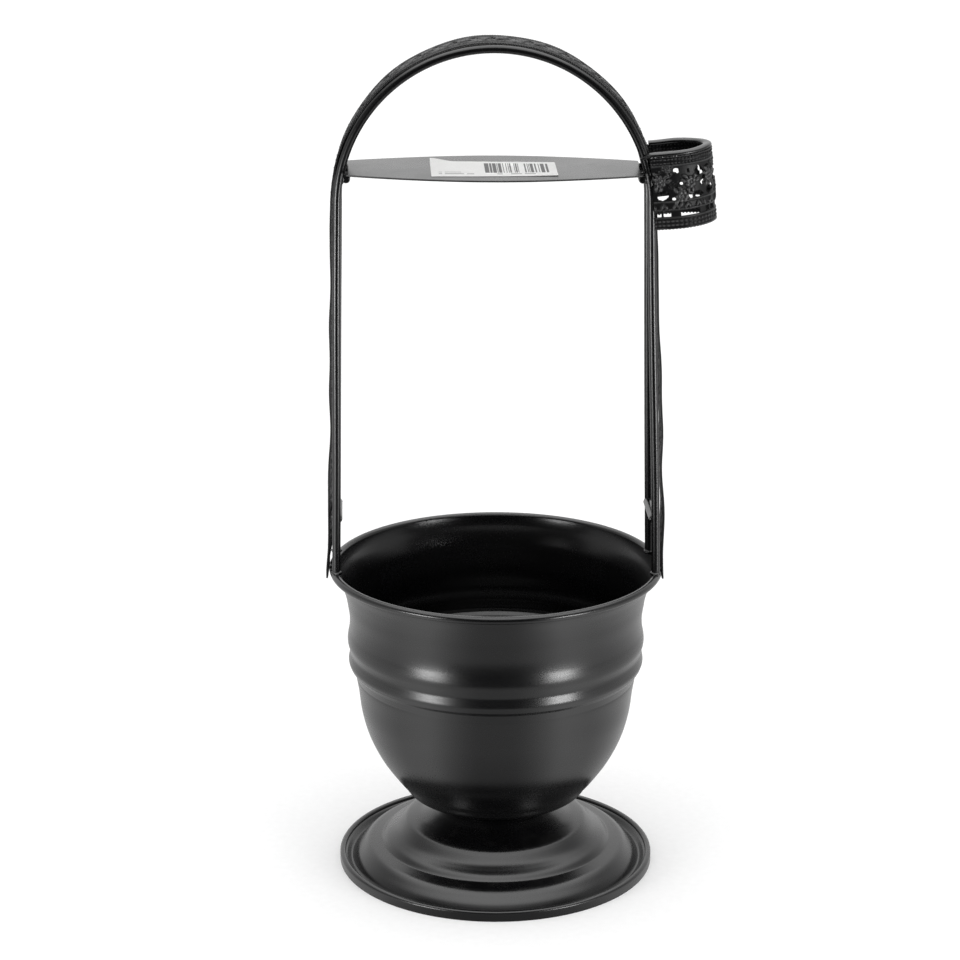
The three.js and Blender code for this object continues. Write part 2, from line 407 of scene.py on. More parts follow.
# Scored lines round the urn: height, depth and half width.
SCORE_LINES = [(129.3, 0.22, 0.45), (125.8, 0.16, 0.5), (121.3, 0.2, 0.45)]


def build_bowl():
    """The urn: a flat floor, a wall with two ribs and scored lines, and a rolled rim."""
    floor = SEAT + SHEET / 2
    outside = smooth_line([
        (30, floor - 0.4), (38, 40.2), (51.9, 46), (57, 51.9), (62, 58), (70.3, 70), (77.1, 84),
        (81.1, 98), (83, 112), (84.1, 118.5), (84.9, 122.6), (86.3, 126.2), (88.1, 128.6),
        (88.9, 131.2), (88.5, 134), (87.9, 137.2), (88.4, 139.8), (89.2, 142.4), (89.4, 145),
        (89, 148.2), (88.3, 152), (88, 156.5), (88.2, 161), (89.1, 167), (90.2, 173),
        (92.2, 179.5), (94.4, 184.4),
    ], 0.7)
    for height, depth, width in SCORE_LINES:
        outside[:, 0] -= depth * np.exp(-(((outside[:, 1] - height) / width) ** 2))
    wall = sheet_loop(outside, SHEET)[1][::-1] * 0.5 + outside * 0.5
    base = np.column_stack([np.linspace(0, 28, 12), np.full(12, floor)])
    centre = (ROLL_CENTRE, RIM_TOP - RIM_ROLL)
    roll = arc_line(centre, RIM_ROLL - SHEET / 2, 180, -125, 26)
    right, left = sheet_loop(np.vstack([base, wall, roll]), SHEET)
    right[0, 0] = 0
    left[-1, 0] = 0
    verts, faces = spin(np.vstack([right, left]), True)
    return make_mesh("urn", verts, faces, SATIN, ["bowl"], 55)


# ---- Foot ------------------------------------------------------------------------------------

HEM_HEIGHT = 6.3
HEM_WIDTH = 3.5
SEAT_GAP = 0.3                 # from the foot's seat up to the urn
FLOOR_GAP = 0.02               # the lowest the foot's sheet comes to the floor


def build_foot():
    """The foot: a seat ring, a neck, steps and a dome, then a groove and a folded hem."""
    seat = SEAT - SEAT_GAP - SHEET / 2
    bell = smooth_line([
        (16, seat), (31, seat), (33.6, 35.7), (35.6, 34.3), (38.4, 32.2), (42, 30.2), (46, 28.6),
        (50.8, 27.6), (54.3, 26.6), (56.4, 24.8), (60.2, 20.6), (63.5, 18.1), (66.8, 15.9),
        (69, 13.6), (70.2, 12.8), (73.5, 12.3), (77.3, 11.7), (79.6, 10.4), (82.2, 7.9),
        (84.3, 5.7), (85.6, 3.9), (86.9, 1.9), (88.2, 0.9), (89.4, 1.0), (90.7, 2.1), (91.9, 3.4),
    ], 0.6)
    hem_radius = HEM_WIDTH / 2 - SHEET / 2
    hem_centre = FOOT_RADIUS - HEM_WIDTH / 2
    hem = arc_line((hem_centre, HEM_HEIGHT - HEM_WIDTH / 2), hem_radius, 180, 0, 16)
    rise = np.column_stack([np.full(6, hem_centre - hem_radius), np.linspace(4.0, 4.4, 6)])
    fall = np.column_stack([np.full(10, hem_centre + hem_radius), np.linspace(4.2, 0.0, 10)])
    right, left = sheet_loop(np.vstack([bell, rise, hem, fall]), SHEET)
    loop = np.vstack([right, left])
    loop[:, 1] = np.maximum(loop[:, 1], FLOOR_GAP)
    verts, faces = spin(loop, False)
    return make_mesh("foot", verts, faces, SATIN, ["pedestal"], 55)


# ---- Rods and bars ---------------------------------------------------------------------------

ROUND_SIDES = 28               # flat sides of a rod or bar
REST_SHIFT = 1.9               # the tray's bars sit this much further out than in the CAD model
REST_TRIM = 1.3                # and are shorter by this at each end
BRACE_REACH = 0.3              # the braces run this much further, into their welds


def ring_stack(rings, sides):
    """Faces of a closed solid whose rings of vertices are stacked end to end."""
    faces = grid_faces(len(rings), sides, close_columns=True)
    last = (len(rings) - 1) * sides
    faces.append(tuple(range(sides))[::-1])
    faces.append(tuple(last + k for k in range(sides)))
    return faces


def rod_mesh(line, side):
    """A round rod along a line in XZ, in front of the handle's middle plane or behind it."""
    normals = outward_normals(line)
    angles = np.arange(ROUND_SIDES) * 2 * np.pi / ROUND_SIDES
    radii = np.full(len(line), ROD_RADIUS)
    radii[[0, -1]] = ROD_RADIUS - 0.5
    radii[[1, -2]] = ROD_RADIUS - 0.12
    rings = []
    for p, n, r in zip(line, normals, radii):
        x = p[0] + r * np.cos(angles) * n[0]
        z = p[1] + r * np.cos(angles) * n[1]
        y = side * rod_y(p[1]) + r * np.sin(angles)
        rings.append(np.column_stack([x, y, z]))
    return np.vstack(rings), [f[::-1] for f in ring_stack(rings, ROUND_SIDES)]


def build_rods():
    """The two arched rods, each very slightly wavy up its legs."""
    for name, side in (("front", -1), ("back", 1)):
        line, _ = resample(handle_line(0, ROD_FOOT - 0.8), 640)
        run = np.linspace(0, 9, len(line))
        line[:, 0] += 0.12 * np.sin(run + side) * ease(line[:, 1], ROD_FOOT, ROD_FOOT + 60)
        verts, faces = rod_mesh(line, side)
        replaced = [f"handle_rod_{name}"]
        make_mesh(f"rod_{name}", settle(verts), faces, SATIN, replaced, 50)


def bar_mesh(x, z, y_from, y_to):
    """A straight bar along Y with slightly rounded ends."""
    angles = np.arange(ROUND_SIDES) * 2 * np.pi / ROUND_SIDES
    edge = 0.7
    turn = np.linspace(0, np.pi / 2, 5)
    radii = [ROD_RADIUS - edge * (1 - math.sin(t)) for t in turn]
    inset = [edge * (1 - math.cos(t)) for t in turn]
    stations = [(y_from + back, r) for back, r in zip(inset, radii)]
    stations += [(y, ROD_RADIUS) for y in np.linspace(y_from, y_to, 8)[1:-1]]
    stations += [(y_to - back, r) for back, r in zip(inset[::-1], radii[::-1])]
    rings = []
    for y, r in stations:
        ring = [x + r * np.cos(angles), np.full(ROUND_SIDES, y), z + r * np.sin(angles)]
        rings.append(np.column_stack(ring))
    return np.vstack(rings), ring_stack(rings, ROUND_SIDES)


def build_bar(name, replaced, x, z, y_from, y_to):
    verts, faces = bar_mesh(x, z, y_from, y_to)
    make_mesh(name, settle(verts), faces, SATIN, [replaced], 50)


def build_bars():
    """A bar under each end of the tray, and a brace across each pair of legs above the rim."""
    for side, hand in ((-1, "left"), (1, "right")):
        x = side * ((BAR_LOW[0] + BAR_HIGH[0]) / 2 + REST_SHIFT)
        z = (BAR_LOW[2] + BAR_HIGH[2]) / 2
        front, back = BAR_LOW[1] + REST_TRIM, BAR_HIGH[1] - REST_TRIM
        build_bar(f"tray_rest_{hand}", f"tray_bar_{hand}", x, z, front, back)
        x = side * (BRACE_LOW[0] + BRACE_HIGH[0]) / 2
        z = (BRACE_LOW[2] + BRACE_HIGH[2]) / 2
        front, back = BRACE_LOW[1] - BRACE_REACH, BRACE_HIGH[1] + BRACE_REACH
        build_bar(f"leg_brace_{hand}", f"lower_brace_{hand}", x, z, front, back)


# ---- Stamped openwork strip ------------------------------------------------------------------

LACE_HALF = 21.0               # the stamped pattern is drawn 42 mm wide
LACE_TILE = 30.6               # and repeats at this length

# Openings: centre along and across the strip, half length, half width, turn in degrees.
# Clear ones cut into the leaves round them. Small ones only show between the leaves.
CLEAR_HOLES = [
    (3.8, 12.2, 2.1, 1.0, 0), (14.2, 12.2, 1.7, 1.7, 25), (21.4, 11.6, 0.9, 1.5, 5),
    (28.2, 10.6, 3.0, 2.9, 10), (13.6, 4.3, 4.6, 1.9, 12), (5.8, -1.2, 3.8, 2.7, 20),
    (27, -2.4, 3.6, 1.9, -5), (21.8, -2.6, 1.1, 1.8, 30),
]
SMALL_HOLES = [
    (0.6, 6.0, 1.1, 2.2, -20), (19.4, 8.4, 1.0, 1.3, 0), (9.8, 9.6, 1.3, 1.1, 20),
    (12.0, -3.6, 1.2, 0.9, 0), (29.4, 3.2, 1.2, 1.6, 15), (22.6, 0.8, 1.2, 0.9, 0),
]
CLEAR_CUT = 2.2                # how far a clear opening cuts into the raised parts

# Slots in a row near the lower edge: middle and half length.
SLOTS = [(2.4, 1.6), (7.4, 2.2), (21.4, 6.0)]
SLOT_ROW = -11.9
SLOT_HALF = 1.7

# Flowers: centre along and across, size, turn in radians.
FLOWERS = [
    (4.6, 6.8, 3.5, 0.3), (17.0, -2.4, 3.7, 0.0), (22.4, 5.0, 3.4, 0.5), (9.6, 13.2, 1.9, 0.8),
]
PETALS = 6

# Raised lines along the strip: place across and rise.
LINES = [(-14.2, 0.6), (-20.4, 0.7), (15.6, 0.6), (20.4, 0.7), (-5.0, 0.5), (-9.6, 0.5)]
LINE_HALF = 0.5

# Rows of beads: place across, pitch and radius.
FINE_PITCH = 2.04
BEAD_ROWS = [
    (-18.5, 2.55, 0.85), (-16.2, 2.55, 0.85), (17.0, FINE_PITCH, 0.55), (19.0, FINE_PITCH, 0.55),
]

LEAF_ROW = -9.4                # a row of leaves that lean to and fro
LEAF_PITCH = 3.4
LEAF_COUNT = 9


def wrap(u, u0):
    """Distance along the strip from the nearest repeat of u0."""
    return (u - u0 + LACE_TILE / 2) % LACE_TILE - LACE_TILE / 2


def oval(u, v, u0, v0, a, b, turn):
    """Depth inside a slightly ragged oval."""
    du, dv = wrap(u, u0), v - v0
    c, s = math.cos(math.radians(turn)), math.sin(math.radians(turn))
    p, q = (du * c + dv * s) / a, (dv * c - du * s) / b
    ragged = 0.1 * np.sin(2.3 * du + u0) * np.cos(2.9 * dv + v0)
    return (1 - np.sqrt(p * p + q * q + 1e-9) + ragged) * min(a, b)


def leaf(u, v, u0, v0, turn, length, width):
    """Depth inside a pointed leaf that starts at (u0, v0)."""
    du, dv = wrap(u, u0), v - v0
    c, s = math.cos(math.radians(turn)), math.sin(math.radians(turn))
    along = (du * c + dv * s) / length
    across = dv * c - du * s
    half = width * np.sin(np.pi * np.clip(along, 0, 1) ** 0.8)
    beyond = np.maximum(np.maximum(-along, along - 1), 0) * length
    return half - np.abs(across) - 1.5 * beyond


def rosette(u, v, u0, v0, size, turn):
    """Petals round a button, each as depth, rise and shoulder width."""
    parts = []
    for k in range(PETALS):
        a = turn + 2 * math.pi * k / PETALS
        pu, pv = u0 + 0.64 * size * math.cos(a), v0 + 0.64 * size * math.sin(a)
        parts.append((0.4 * size - np.hypot(wrap(u, pu), v - pv), 0.9, 0.34 * size))
    parts.append((0.3 * size - np.hypot(wrap(u, u0), v - v0), 1.25, 0.26 * size))
    return parts


def lace_relief(u, v):
    """Raised elements of one repeat: lines, rows of beads, a row of leaves, and flowers."""
    parts = []
    for line, rise in LINES:
        parts.append((LINE_HALF - np.abs(v - line), rise, 0.45))
    for row, pitch, size in BEAD_ROWS:
        du = (u + pitch / 2) % pitch - pitch / 2
        parts.append((size - np.hypot(du, v - row), 0.7, size))
    for k in range(LEAF_COUNT):
        turn = 62 if k % 2 else 118
        parts.append((leaf(u, v, LEAF_PITCH * k + 1.0, LEAF_ROW, turn, 4.4, 0.8), 0.8, 0.7))
    for u0, v0, size, turn in FLOWERS:
        parts += rosette(u, v, u0, v0, size, turn)
        for k in range(PETALS):
            a = turn + 0.5 + 2 * math.pi * k / PETALS
            start = (u0 + 0.85 * size * math.cos(a), v0 + 0.85 * size * math.sin(a))
            bent = math.degrees(a) + (35 if k % 2 else -35)
            inside = leaf(u, v, *start, bent, 1.2 * size, 0.3 * size)
            parts.append((inside, 0.85, 0.25 * size))
    return parts


def lace_at(u, v):
    """Depth inside the metal (negative in an opening) and relief height, at points of the strip."""
    outside = -9.0
    opening = np.full(np.shape(u), outside)
    for hole in SMALL_HOLES:
        opening = np.maximum(opening, oval(u, v, *hole))
    clear = np.full(np.shape(u), outside)
    for hole in CLEAR_HOLES:
        clear = np.maximum(clear, oval(u, v, *hole))
    height = np.zeros(np.shape(u))
    solid = np.full(np.shape(u), outside)
    for inside, rise, shoulder in lace_relief(u, v):
        share = np.clip(inside / shoulder, 0, 1)
        height = np.maximum(height, rise * np.sqrt(1 - (1 - share) ** 2))
        solid = np.maximum(solid, inside)
    depth = np.minimum(np.maximum(-opening, solid), np.maximum(-clear, solid - CLEAR_CUT))
    for middle, half in SLOTS:
        slot = np.minimum(half - np.abs(wrap(u, middle)), SLOT_HALF - np.abs(v - SLOT_ROW))
        depth = np.minimum(depth, -slot)
    scallop = 0.25 * np.cos(2 * np.pi * u / FINE_PITCH)
    return np.minimum(depth, LACE_HALF - 0.25 + scallop - np.abs(v)), height


def lace_sheet(tiles, cell):
    """The flat strip as vertices (run, across) and faces, its openings cut by marching squares."""
    margin = 0.6
    columns = int(round(LACE_TILE / cell))
    rows = int(round(2 * (LACE_HALF + margin) / cell))
    us = np.linspace(0, LACE_TILE, columns + 1)
    vs = np.linspace(-LACE_HALF - margin, LACE_HALF + margin, rows + 1)
    grid_u, grid_v = np.meshgrid(us, vs, indexing="ij")
    depth, _ = lace_at(grid_u, grid_v)
    depth[np.abs(depth) < 0.01] = 0.01
    points, index, polygons = [], {}, []

    def corner(i, j):
        if (i, j) not in index:
            index[i, j] = len(points)
            points.append((us[i], vs[j]))
        return index[i, j]

    def crossing(here, after):
        key = tuple(sorted((here, after)))
        if key not in index:
            (i, j), (k, m) = key
            a, b = depth[i, j], depth[k, m]
            t = min(max(a / (a - b), 0.04), 0.96)
            index[key] = len(points)
            points.append((us[i] + t * (us[k] - us[i]), vs[j] + t * (vs[m] - vs[j])))
        return index[key]

    for i in range(columns):
        for j in range(rows):
            ring = [(i, j), (i + 1, j), (i + 1, j + 1), (i, j + 1)]
            metal = [bool(depth[c] > 0) for c in ring]
            if not any(metal):
                continue
            split = metal in ([True, False, True, False], [False, True, False, True])
            chains, chain = [], []
            for k in range(4):
                here, after = ring[k], ring[(k + 1) % 4]
                if metal[k]:
                    chain.append(corner(*here))
                if metal[k] != metal[(k + 1) % 4]:
                    chain.append(crossing(here, after))
                    if split and metal[k]:
                        chains.append(chain)
                        chain = []
            if split:
                chains[0] = chain + chains[0]
                polygons += [c for c in chains if len(c) > 2]
            else:
                polygons.append(chain)
    return repeat_tiles(points, polygons, tiles)


def repeat_tiles(points, polygons, tiles):
    """Copies of one tile side by side, their shared edges merged."""
    merged, flat, faces = {}, [], []
    for tile in range(tiles):
        numbers = []
        for u, v in points:
            key = (round(u + tile * LACE_TILE, 3), round(v, 3))
            if key not in merged:
                merged[key] = len(flat)
                flat.append(key)
            numbers.append(merged[key])
        faces += [[numbers[q] for q in polygon] for polygon in polygons]
    return np.array(flat), faces


def thicken(flat, faces, sheet, relief, place):
    """Top and bottom skins with walls round every opening.

    place(run, across, lift) gives the points in space.
    """
    _, height = lace_at(flat[:, 0], flat[:, 1])
    top = place(flat[:, 0], flat[:, 1], relief * height + sheet / 2)
    bottom = place(flat[:, 0], flat[:, 1], 0.7 * relief * height - sheet / 2)
    count = len(flat)
    edges = {}
    for face in faces:
        for a, b in zip(face, face[1:] + face[:1]):
            if (b, a) in edges:
                del edges[(b, a)]
            else:
                edges[(a, b)] = True
    skins = [list(f) for f in faces]
    skins += [[q + count for q in reversed(f)] for f in faces]
    skins += [[b, a, a + count, b + count] for a, b in edges]
    return np.vstack([top, bottom]), skins


def mark_relief(obj, flat):
    """Keeps each point's relief height with the mesh, for the paint to read; the paint puts painted
    shade in the low parts.
    """
    _, height = lace_at(flat[:, 0], flat[:, 1])
    values = np.concatenate([height, height]).astype(np.float32)
    obj.data.attributes.new("relief", "FLOAT", "POINT").data.foreach_set("value", values)
    return obj


RIBBON_SHEET = 0.6
RIBBON_RELIEF = 0.85
RIBBON_CELL = 0.75             # grid that its openings are cut on

# How far the ribbon stands off each leg. Each entry adds an amount below its first height,
# which is gone by its second height. The ends have to clear the rim.
STAND_LEFT = [(0.9, 240, 290), (0.9, 188, 206)]
STAND_RIGHT = [(2.2, 290, 400), (0.8, 225, 260), (-0.7, 200, 226)]


def ribbon_lift(height, side):
    """How far the ribbon stands off a leg, with a slight spring in the strip."""
    stand = 0
    for amount, full, gone in STAND_LEFT if side < 0 else STAND_RIGHT:
        stand = stand + amount * (1 - ease(height, full, gone))
    spring = 0.25 * np.sin(height / 15.0 + side) + 0.15 * np.sin(height / 6.3 + 2 * side)
    return stand + spring * ease(height, 200, 240) * (1 - ease(height, 380, 410))


def build_ribbon():
    """The stamped strip along the outside of the handle, from rim to rim."""
    outward = ROD_RADIUS + RIBBON_SHEET / 2 + 0.05
    line = handle_line(outward, RIBBON_END, ribbon_lift)
    _, length = resample(line, 10)
    scale = RIBBON_WIDTH / (2 * LACE_HALF)
    tiles = int(round(length / (LACE_TILE * scale)))
    line, _ = resample(line, 1500)
    normal = outward_normals(line)
    runs = np.linspace(0, tiles * LACE_TILE, len(line))

    def place(run, across, lift):
        px, pz = np.interp(run, runs, line[:, 0]), np.interp(run, runs, line[:, 1])
        nx, nz = np.interp(run, runs, normal[:, 0]), np.interp(run, runs, normal[:, 1])
        lift = lift + 0.2 * np.sin(run / 11.0) * (across / LACE_HALF) ** 2
        points = np.column_stack([px + nx * lift, across * scale, pz + nz * lift])
        low_left = (1 - ease(pz, 300, 370)) * ease(pz, 190, 206) * (px < 0)
        points[:, 0] += 0.9 * (1 + across / LACE_HALF) * low_left
        return settle(points, 0.15)

    flat, faces = lace_sheet(tiles, RIBBON_CELL)
    verts, skins = thicken(flat, faces, RIBBON_SHEET, RIBBON_RELIEF, place)
    replaced = ["handle_ribbon"]
    ribbon = make_mesh("openwork_ribbon", verts, skins, MATT, replaced, 60)
    return mark_relief(ribbon, flat)


# ---- Side holder -----------------------------------------------------------------------------

CUP_START = 89.5               # the band's ends lie on the outer sides of the rods
CUP_REACH = 126.0              # how far right its round end comes
CUP_ROUND = 24.0               # length of the half oval that ends the holder
CUP_HALF = 19.65               # half its width, front to back
CUP_HEIGHT = 43.0
CUP_SHEET = 0.7
CUP_RELIEF = 1.15
CUP_CELL = 0.45                # grid that its openings are cut on
CUP_RING_WIDTH = 5.3
CUP_RING_HEIGHT = 2.7
CUP_RING_SINK = 0.5            # how far the ring comes down over the band
CUP_LEAN = math.radians(5.5)   # its round end tips up
CUP_NOD = math.radians(1.7)    # its top tips to the front

CUP_CENTRE_X = CUP_REACH - CUP_ROUND
tilt = Matrix.Rotation(CUP_NOD, 4, "X") @ Matrix.Rotation(-CUP_LEAN, 4, "Y")
CUP_PLACE = np.array(Matrix.Translation((CUP_CENTRE_X, 0, CUP_MIDDLE)) @ tilt)


def to_cup(points):
    """From the holder's own axes, about its round end's centre, to the bucket's."""
    return points @ CUP_PLACE[:3, :3].T + CUP_PLACE[:3, 3]


def cup_plan(start, inset, press, spacing=0.8):
    """The holder seen from above, front side first. Its ends are pressed on to the rods."""
    side_x = np.arange(start, CUP_CENTRE_X, spacing)
    side_y = CUP_HALF - inset - press * (1 - ease(side_x, 91, 99))
    front = np.column_stack([side_x - CUP_CENTRE_X, -side_y])
    turn = np.radians(np.linspace(-90, 90, int(np.pi * CUP_HALF / spacing)))
    around_x = (CUP_ROUND - inset) * np.cos(turn)
    around_y = (CUP_HALF - inset) * np.sin(turn)
    around = np.column_stack([around_x, around_y])
    return np.vstack([front, around, front[::-1] * [1, -1]])


def plan_normals(plan):
    """Unit normals of a line seen from above, pointing out of the holder."""
    along = np.gradient(plan, axis=0)
    along /= np.linalg.norm(along, axis=1)[:, None]
    return np.column_stack([along[:, 1], -along[:, 0]])


def build_cup_band():
    """The holder's stamped band, a D in plan, welded to both rods."""
    plan = cup_plan(CUP_START, 0.9, 0.9)
    _, length = resample(plan, 10)
    tiles = int(round(length / LACE_TILE))
    plan, _ = resample(plan, 500)
    normal = plan_normals(plan)
    runs = np.linspace(0, tiles * LACE_TILE, len(plan))

    def place(run, across, lift):
        px, py = np.interp(run, runs, plan[:, 0]), np.interp(run, runs, plan[:, 1])
        nx, ny = np.interp(run, runs, normal[:, 0]), np.interp(run, runs, normal[:, 1])
        lift = lift + 0.2 * np.sin(run / 6.0 + across / 9.0)
        height = across * CUP_HEIGHT / (2 * LACE_HALF)
        return to_cup(np.column_stack([px + nx * lift, py + ny * lift, height]))

    flat, faces = lace_sheet(tiles, CUP_CELL)
    verts, skins = thicken(flat, faces, CUP_SHEET, CUP_RELIEF, place)
    band = make_mesh("openwork_cup", verts, skins, MATT, ["cup_band"], 60)
    return mark_relief(band, flat)


def build_cup_ring():
    """A rounded rim on the band. Its front end thins to a hook that laps round the rod."""
    middle = cup_plan(84.0, CUP_RING_WIDTH / 2, 0.0, 0.7)
    keep = (middle[:, 1] < 0) | (middle[:, 0] > 90 - CUP_CENTRE_X)
    middle = middle[keep]
    normal = plan_normals(middle)
    angles = np.radians(np.arange(0, 360, 18))
    flatten_x = np.sign(np.cos(angles)) * np.abs(np.cos(angles)) ** 0.75
    flatten_z = np.sign(np.sin(angles)) * np.abs(np.sin(angles)) ** 0.8
    run = np.linspace(0, 1, len(middle))
    base = CUP_HEIGHT / 2 + CUP_RING_HEIGHT / 2 - CUP_RING_SINK
    rings = []
    for p, n, r in zip(middle, normal, run):
        hook = (1 - ease(p[0] + CUP_CENTRE_X, 84, 93)) if p[1] < 0 else 0
        half = CUP_RING_WIDTH / 2 * (1 - 0.45 * hook)
        tall = CUP_RING_HEIGHT / 2 * (1 - 0.25 * hook)
        ripple = 0.25 * math.sin(r * 17) + 0.12 * math.sin(r * 31 + 1)
        out = half * flatten_x - 0.7 * hook
        up = base + tall * flatten_z + ripple * 0.4 - 1.6 * hook ** 2
        rings.append(np.column_stack([p[0] + n[0] * out, p[1] + n[1] * out, up]))
    faces = ring_stack(rings, len(angles))
    verts = to_cup(np.vstack(rings))
    return make_mesh("cup_rim", verts, faces, SATIN, ["cup_ring"], 50)


# ---- Tray and sticker ------------------------------------------------------------------------

TRAY_END_HALF = 22.3           # half the width of its cut ends
TRAY_GRID = (171, 61)
TRAY_EDGE = 0.35               # small chamfer round the edge
STICKER_GRID = (61, 41)
PAPER_THICKNESS = 0.12


def tray_half_width(x):
    """Half the tray's width at a place along it: an arc through the end corners and middle."""
    half_length = TRAY_HIGH[0]
    rise = TRAY_HIGH[1] - TRAY_END_HALF
    radius = (half_length ** 2 + rise ** 2) / (2 * rise)
    return TRAY_HIGH[1] - radius + np.sqrt(radius ** 2 - x ** 2)


def tray_sag(x, y):
    """The thin sheet's slight sag and unevenness."""
    return -0.15 * np.cos(x / 60) * (1 - (y / 60) ** 2) + 0.1 * np.sin(x / 19 + y / 23)


def build_tray():
    """The lens-shaped tray sheet: two faces joined by a chamfered edge."""
    columns, rows = TRAY_GRID
    edge = TRAY_EDGE
    x = np.linspace(TRAY_LOW[0], TRAY_HIGH[0], columns)
    w = np.sin(np.linspace(-0.5, 0.5, rows) * np.pi * 0.96) / math.sin(0.48 * np.pi)    # -1 to 1
    grid_x = np.repeat(x[:, None], rows, 1)
    grid_y = w[None, :] * tray_half_width(x)[:, None]
    sag = tray_sag(grid_x, grid_y)
    inset_x = grid_x * (1 - edge / TRAY_HIGH[0])
    inset_y = grid_y * (1 - edge / TRAY_HIGH[1])
    thick = TRAY_HIGH[2] - TRAY_LOW[2]
    layers = [(inset_x, inset_y, TRAY_TOP), (grid_x, grid_y, TRAY_TOP - edge),
              (grid_x, grid_y, TRAY_TOP - thick + edge), (inset_x, inset_y, TRAY_TOP - thick)]
    top = np.stack([layers[0][0], layers[0][1], layers[0][2] + sag], -1).reshape(-1, 3)
    under = np.stack([layers[3][0], layers[3][1], layers[3][2] + sag], -1).reshape(-1, 3)
    faces = grid_faces(columns, rows)
    count = columns * rows
    faces = [f[::-1] for f in faces] + [tuple(q + count for q in f) for f in faces]
    border = grid_border(columns, rows)
    verts = [top, under]
    rings = [np.array(border)]
    start = 2 * count
    for gx, gy, z in layers[1:3]:
        ring = np.stack([gx, gy, z + sag], -1).reshape(-1, 3)[border]
        verts.append(ring)
        rings.append(np.arange(start, start + len(border)))
        start += len(border)
    rings.append(np.array(border) + count)
    for upper, lower in zip(rings, rings[1:]):
        for k in range(len(border)):
            m = (k + 1) % len(border)
            faces.append((upper[k], lower[k], lower[m], upper[m]))
    faces = [tuple(int(q) for q in f) for f in faces]
    verts = settle(np.vstack(verts))
    return make_mesh("tray_plate", verts, faces, SATIN, ["tray"], 50)


# Corners of the sticker from the tray's middle: front left and right, then back left and right.
STICKER_CORNERS = [(-37.0, -26.3), (35.3, -24.2), (-39.0, 19.6), (33.8, 15.6)]


def build_sticker():
    """Thin paper stuck on the tray by hand, its back left corner lifting."""
    columns, rows = STICKER_GRID
    s, t = np.meshgrid(np.linspace(0, 1, columns), np.linspace(0, 1, rows), indexing="ij")
    front_left, front_right, back_left, back_right = STICKER_CORNERS

    def blend(axis):
        front = (1 - s) * front_left[axis] + s * front_right[axis]
        back = (1 - s) * back_left[axis] + s * back_right[axis]
        return (1 - t) * front + t * back

    x, y = blend(0), blend(1)
    front_corner = ease(s + (1 - t), 1.7, 2.0)
    back_corner = ease((1 - s) + t, 1.8, 2.0)
    wave = 0.05 * np.sin(s * 9) * np.sin(t * 7)
    lift = 0.12 + 0.2 * front_corner + 1.9 * back_corner + wave
    base = TRAY_TOP + tray_sag(x, y) + lift
    top = np.stack([x, y, base + PAPER_THICKNESS], -1).reshape(-1, 3)
    under = np.stack([x, y, base], -1).reshape(-1, 3)
    count = columns * rows
    quads = grid_faces(columns, rows)
    faces = [f[::-1] for f in quads] + [tuple(q + count for q in f) for f in quads]
    border = grid_border(columns, rows)
    for k in range(len(border)):
        a, b = border[k], border[(k + 1) % len(border)]
        faces.append((a, a + count, b + count, b))
    verts = np.vstack([top, under])
    obj = make_mesh("sticker", verts, faces, PAPER, ["tray_label"], 50)
    layer = obj.data.uv_layers.new(name="paper")
    place = np.column_stack([s.ravel(), t.ravel()])
    place = np.vstack([place, place])
    corners = np.zeros(len(obj.data.loops), int)
    obj.data.loops.foreach_get("vertex_index", corners)
    layer.data.foreach_set("uv", place[corners].ravel())
    return obj


# ---- Welds -----------------------------------------------------------------------------------

def blob(centre, radii, seed):
    """A small lump of weld metal under the paint: a rounded, slightly knobbly closed form."""
    turns, rings = 18, 10
    wobble = np.random.default_rng(seed).uniform(0, 6.28, 4)
    verts = [(0, 0, -1.0)]
    for i in range(1, rings):
        tilt = -math.pi / 2 + math.pi * i / rings
        for j in range(turns):
            a = 2 * math.pi * j / turns
            verts.append((math.cos(tilt) * math.cos(a), math.cos(tilt) * math.sin(a), math.sin(tilt)))
    verts.append((0, 0, 1.0))
    v = np.array(verts)
    knob = 1 + 0.1 * np.sin(4 * v[:, 0] + wobble[0]) * np.cos(5 * v[:, 2] + wobble[1])
    knob += 0.07 * np.sin(7 * v[:, 1] + wobble[2])
    v = v * knob[:, None] * np.array(radii) + np.array(centre)
    faces = []
    for j in range(turns):
        k = (j + 1) % turns
        faces.append((0, 1 + k, 1 + j))
        last = 1 + (rings - 2) * turns
        faces.append((len(v) - 1, last + j, last + k))
        for i in range(rings - 2):
            a, b = 1 + i * turns + j, 1 + i * turns + k
            faces.append((a, b, b + turns, a + turns))
    return v, faces


def build_welds():
    """Weld metal where the rods meet the rim, the braces, the tray's bars and the tray."""
    spots = []
    bar_z = (BAR_LOW[2] + BAR_HIGH[2]) / 2
    brace_z = (BRACE_LOW[2] + BRACE_HIGH[2]) / 2
    for side in (-1, 1):
        for hand in (-1, 1):
            spots.append(((side * FOOTING_X, hand * FOOT_Y, ROD_FOOT - 0.4), (3.2, 3.4, 1.6)))
            brace_x = side * (BRACE_LOW[0] + BRACE_HIGH[0]) / 2
            brace_y = hand * (rod_y(brace_z) - ROD_RADIUS - 0.2)
            spots.append(((brace_x, brace_y, brace_z), (2.3, 1.0, 2.3)))
            spots.append(((side * (BAR_HIGH[0] + 1.6), hand * ARCH_Y, bar_z), (1.4, 2.2, 2.8)))
            tray_x = side * (TRAY_HIGH[0] + 0.3)
            spots.append(((tray_x, hand * (ARCH_Y - 1.5), TRAY_TOP - 0.8), (1.6, 2.6, 0.9)))
    verts, faces = [], []
    for k, (centre, radii) in enumerate(spots):
        lump, lump_faces = blob(centre, radii, 100 + k)
        faces += [tuple(q + len(verts) for q in face) for face in lump_faces]
        verts += list(lump)
    return make_mesh("weld_beads", settle(verts), faces, SATIN, (), 60)


# ---- Studio ----------------------------------------------------------------------------------

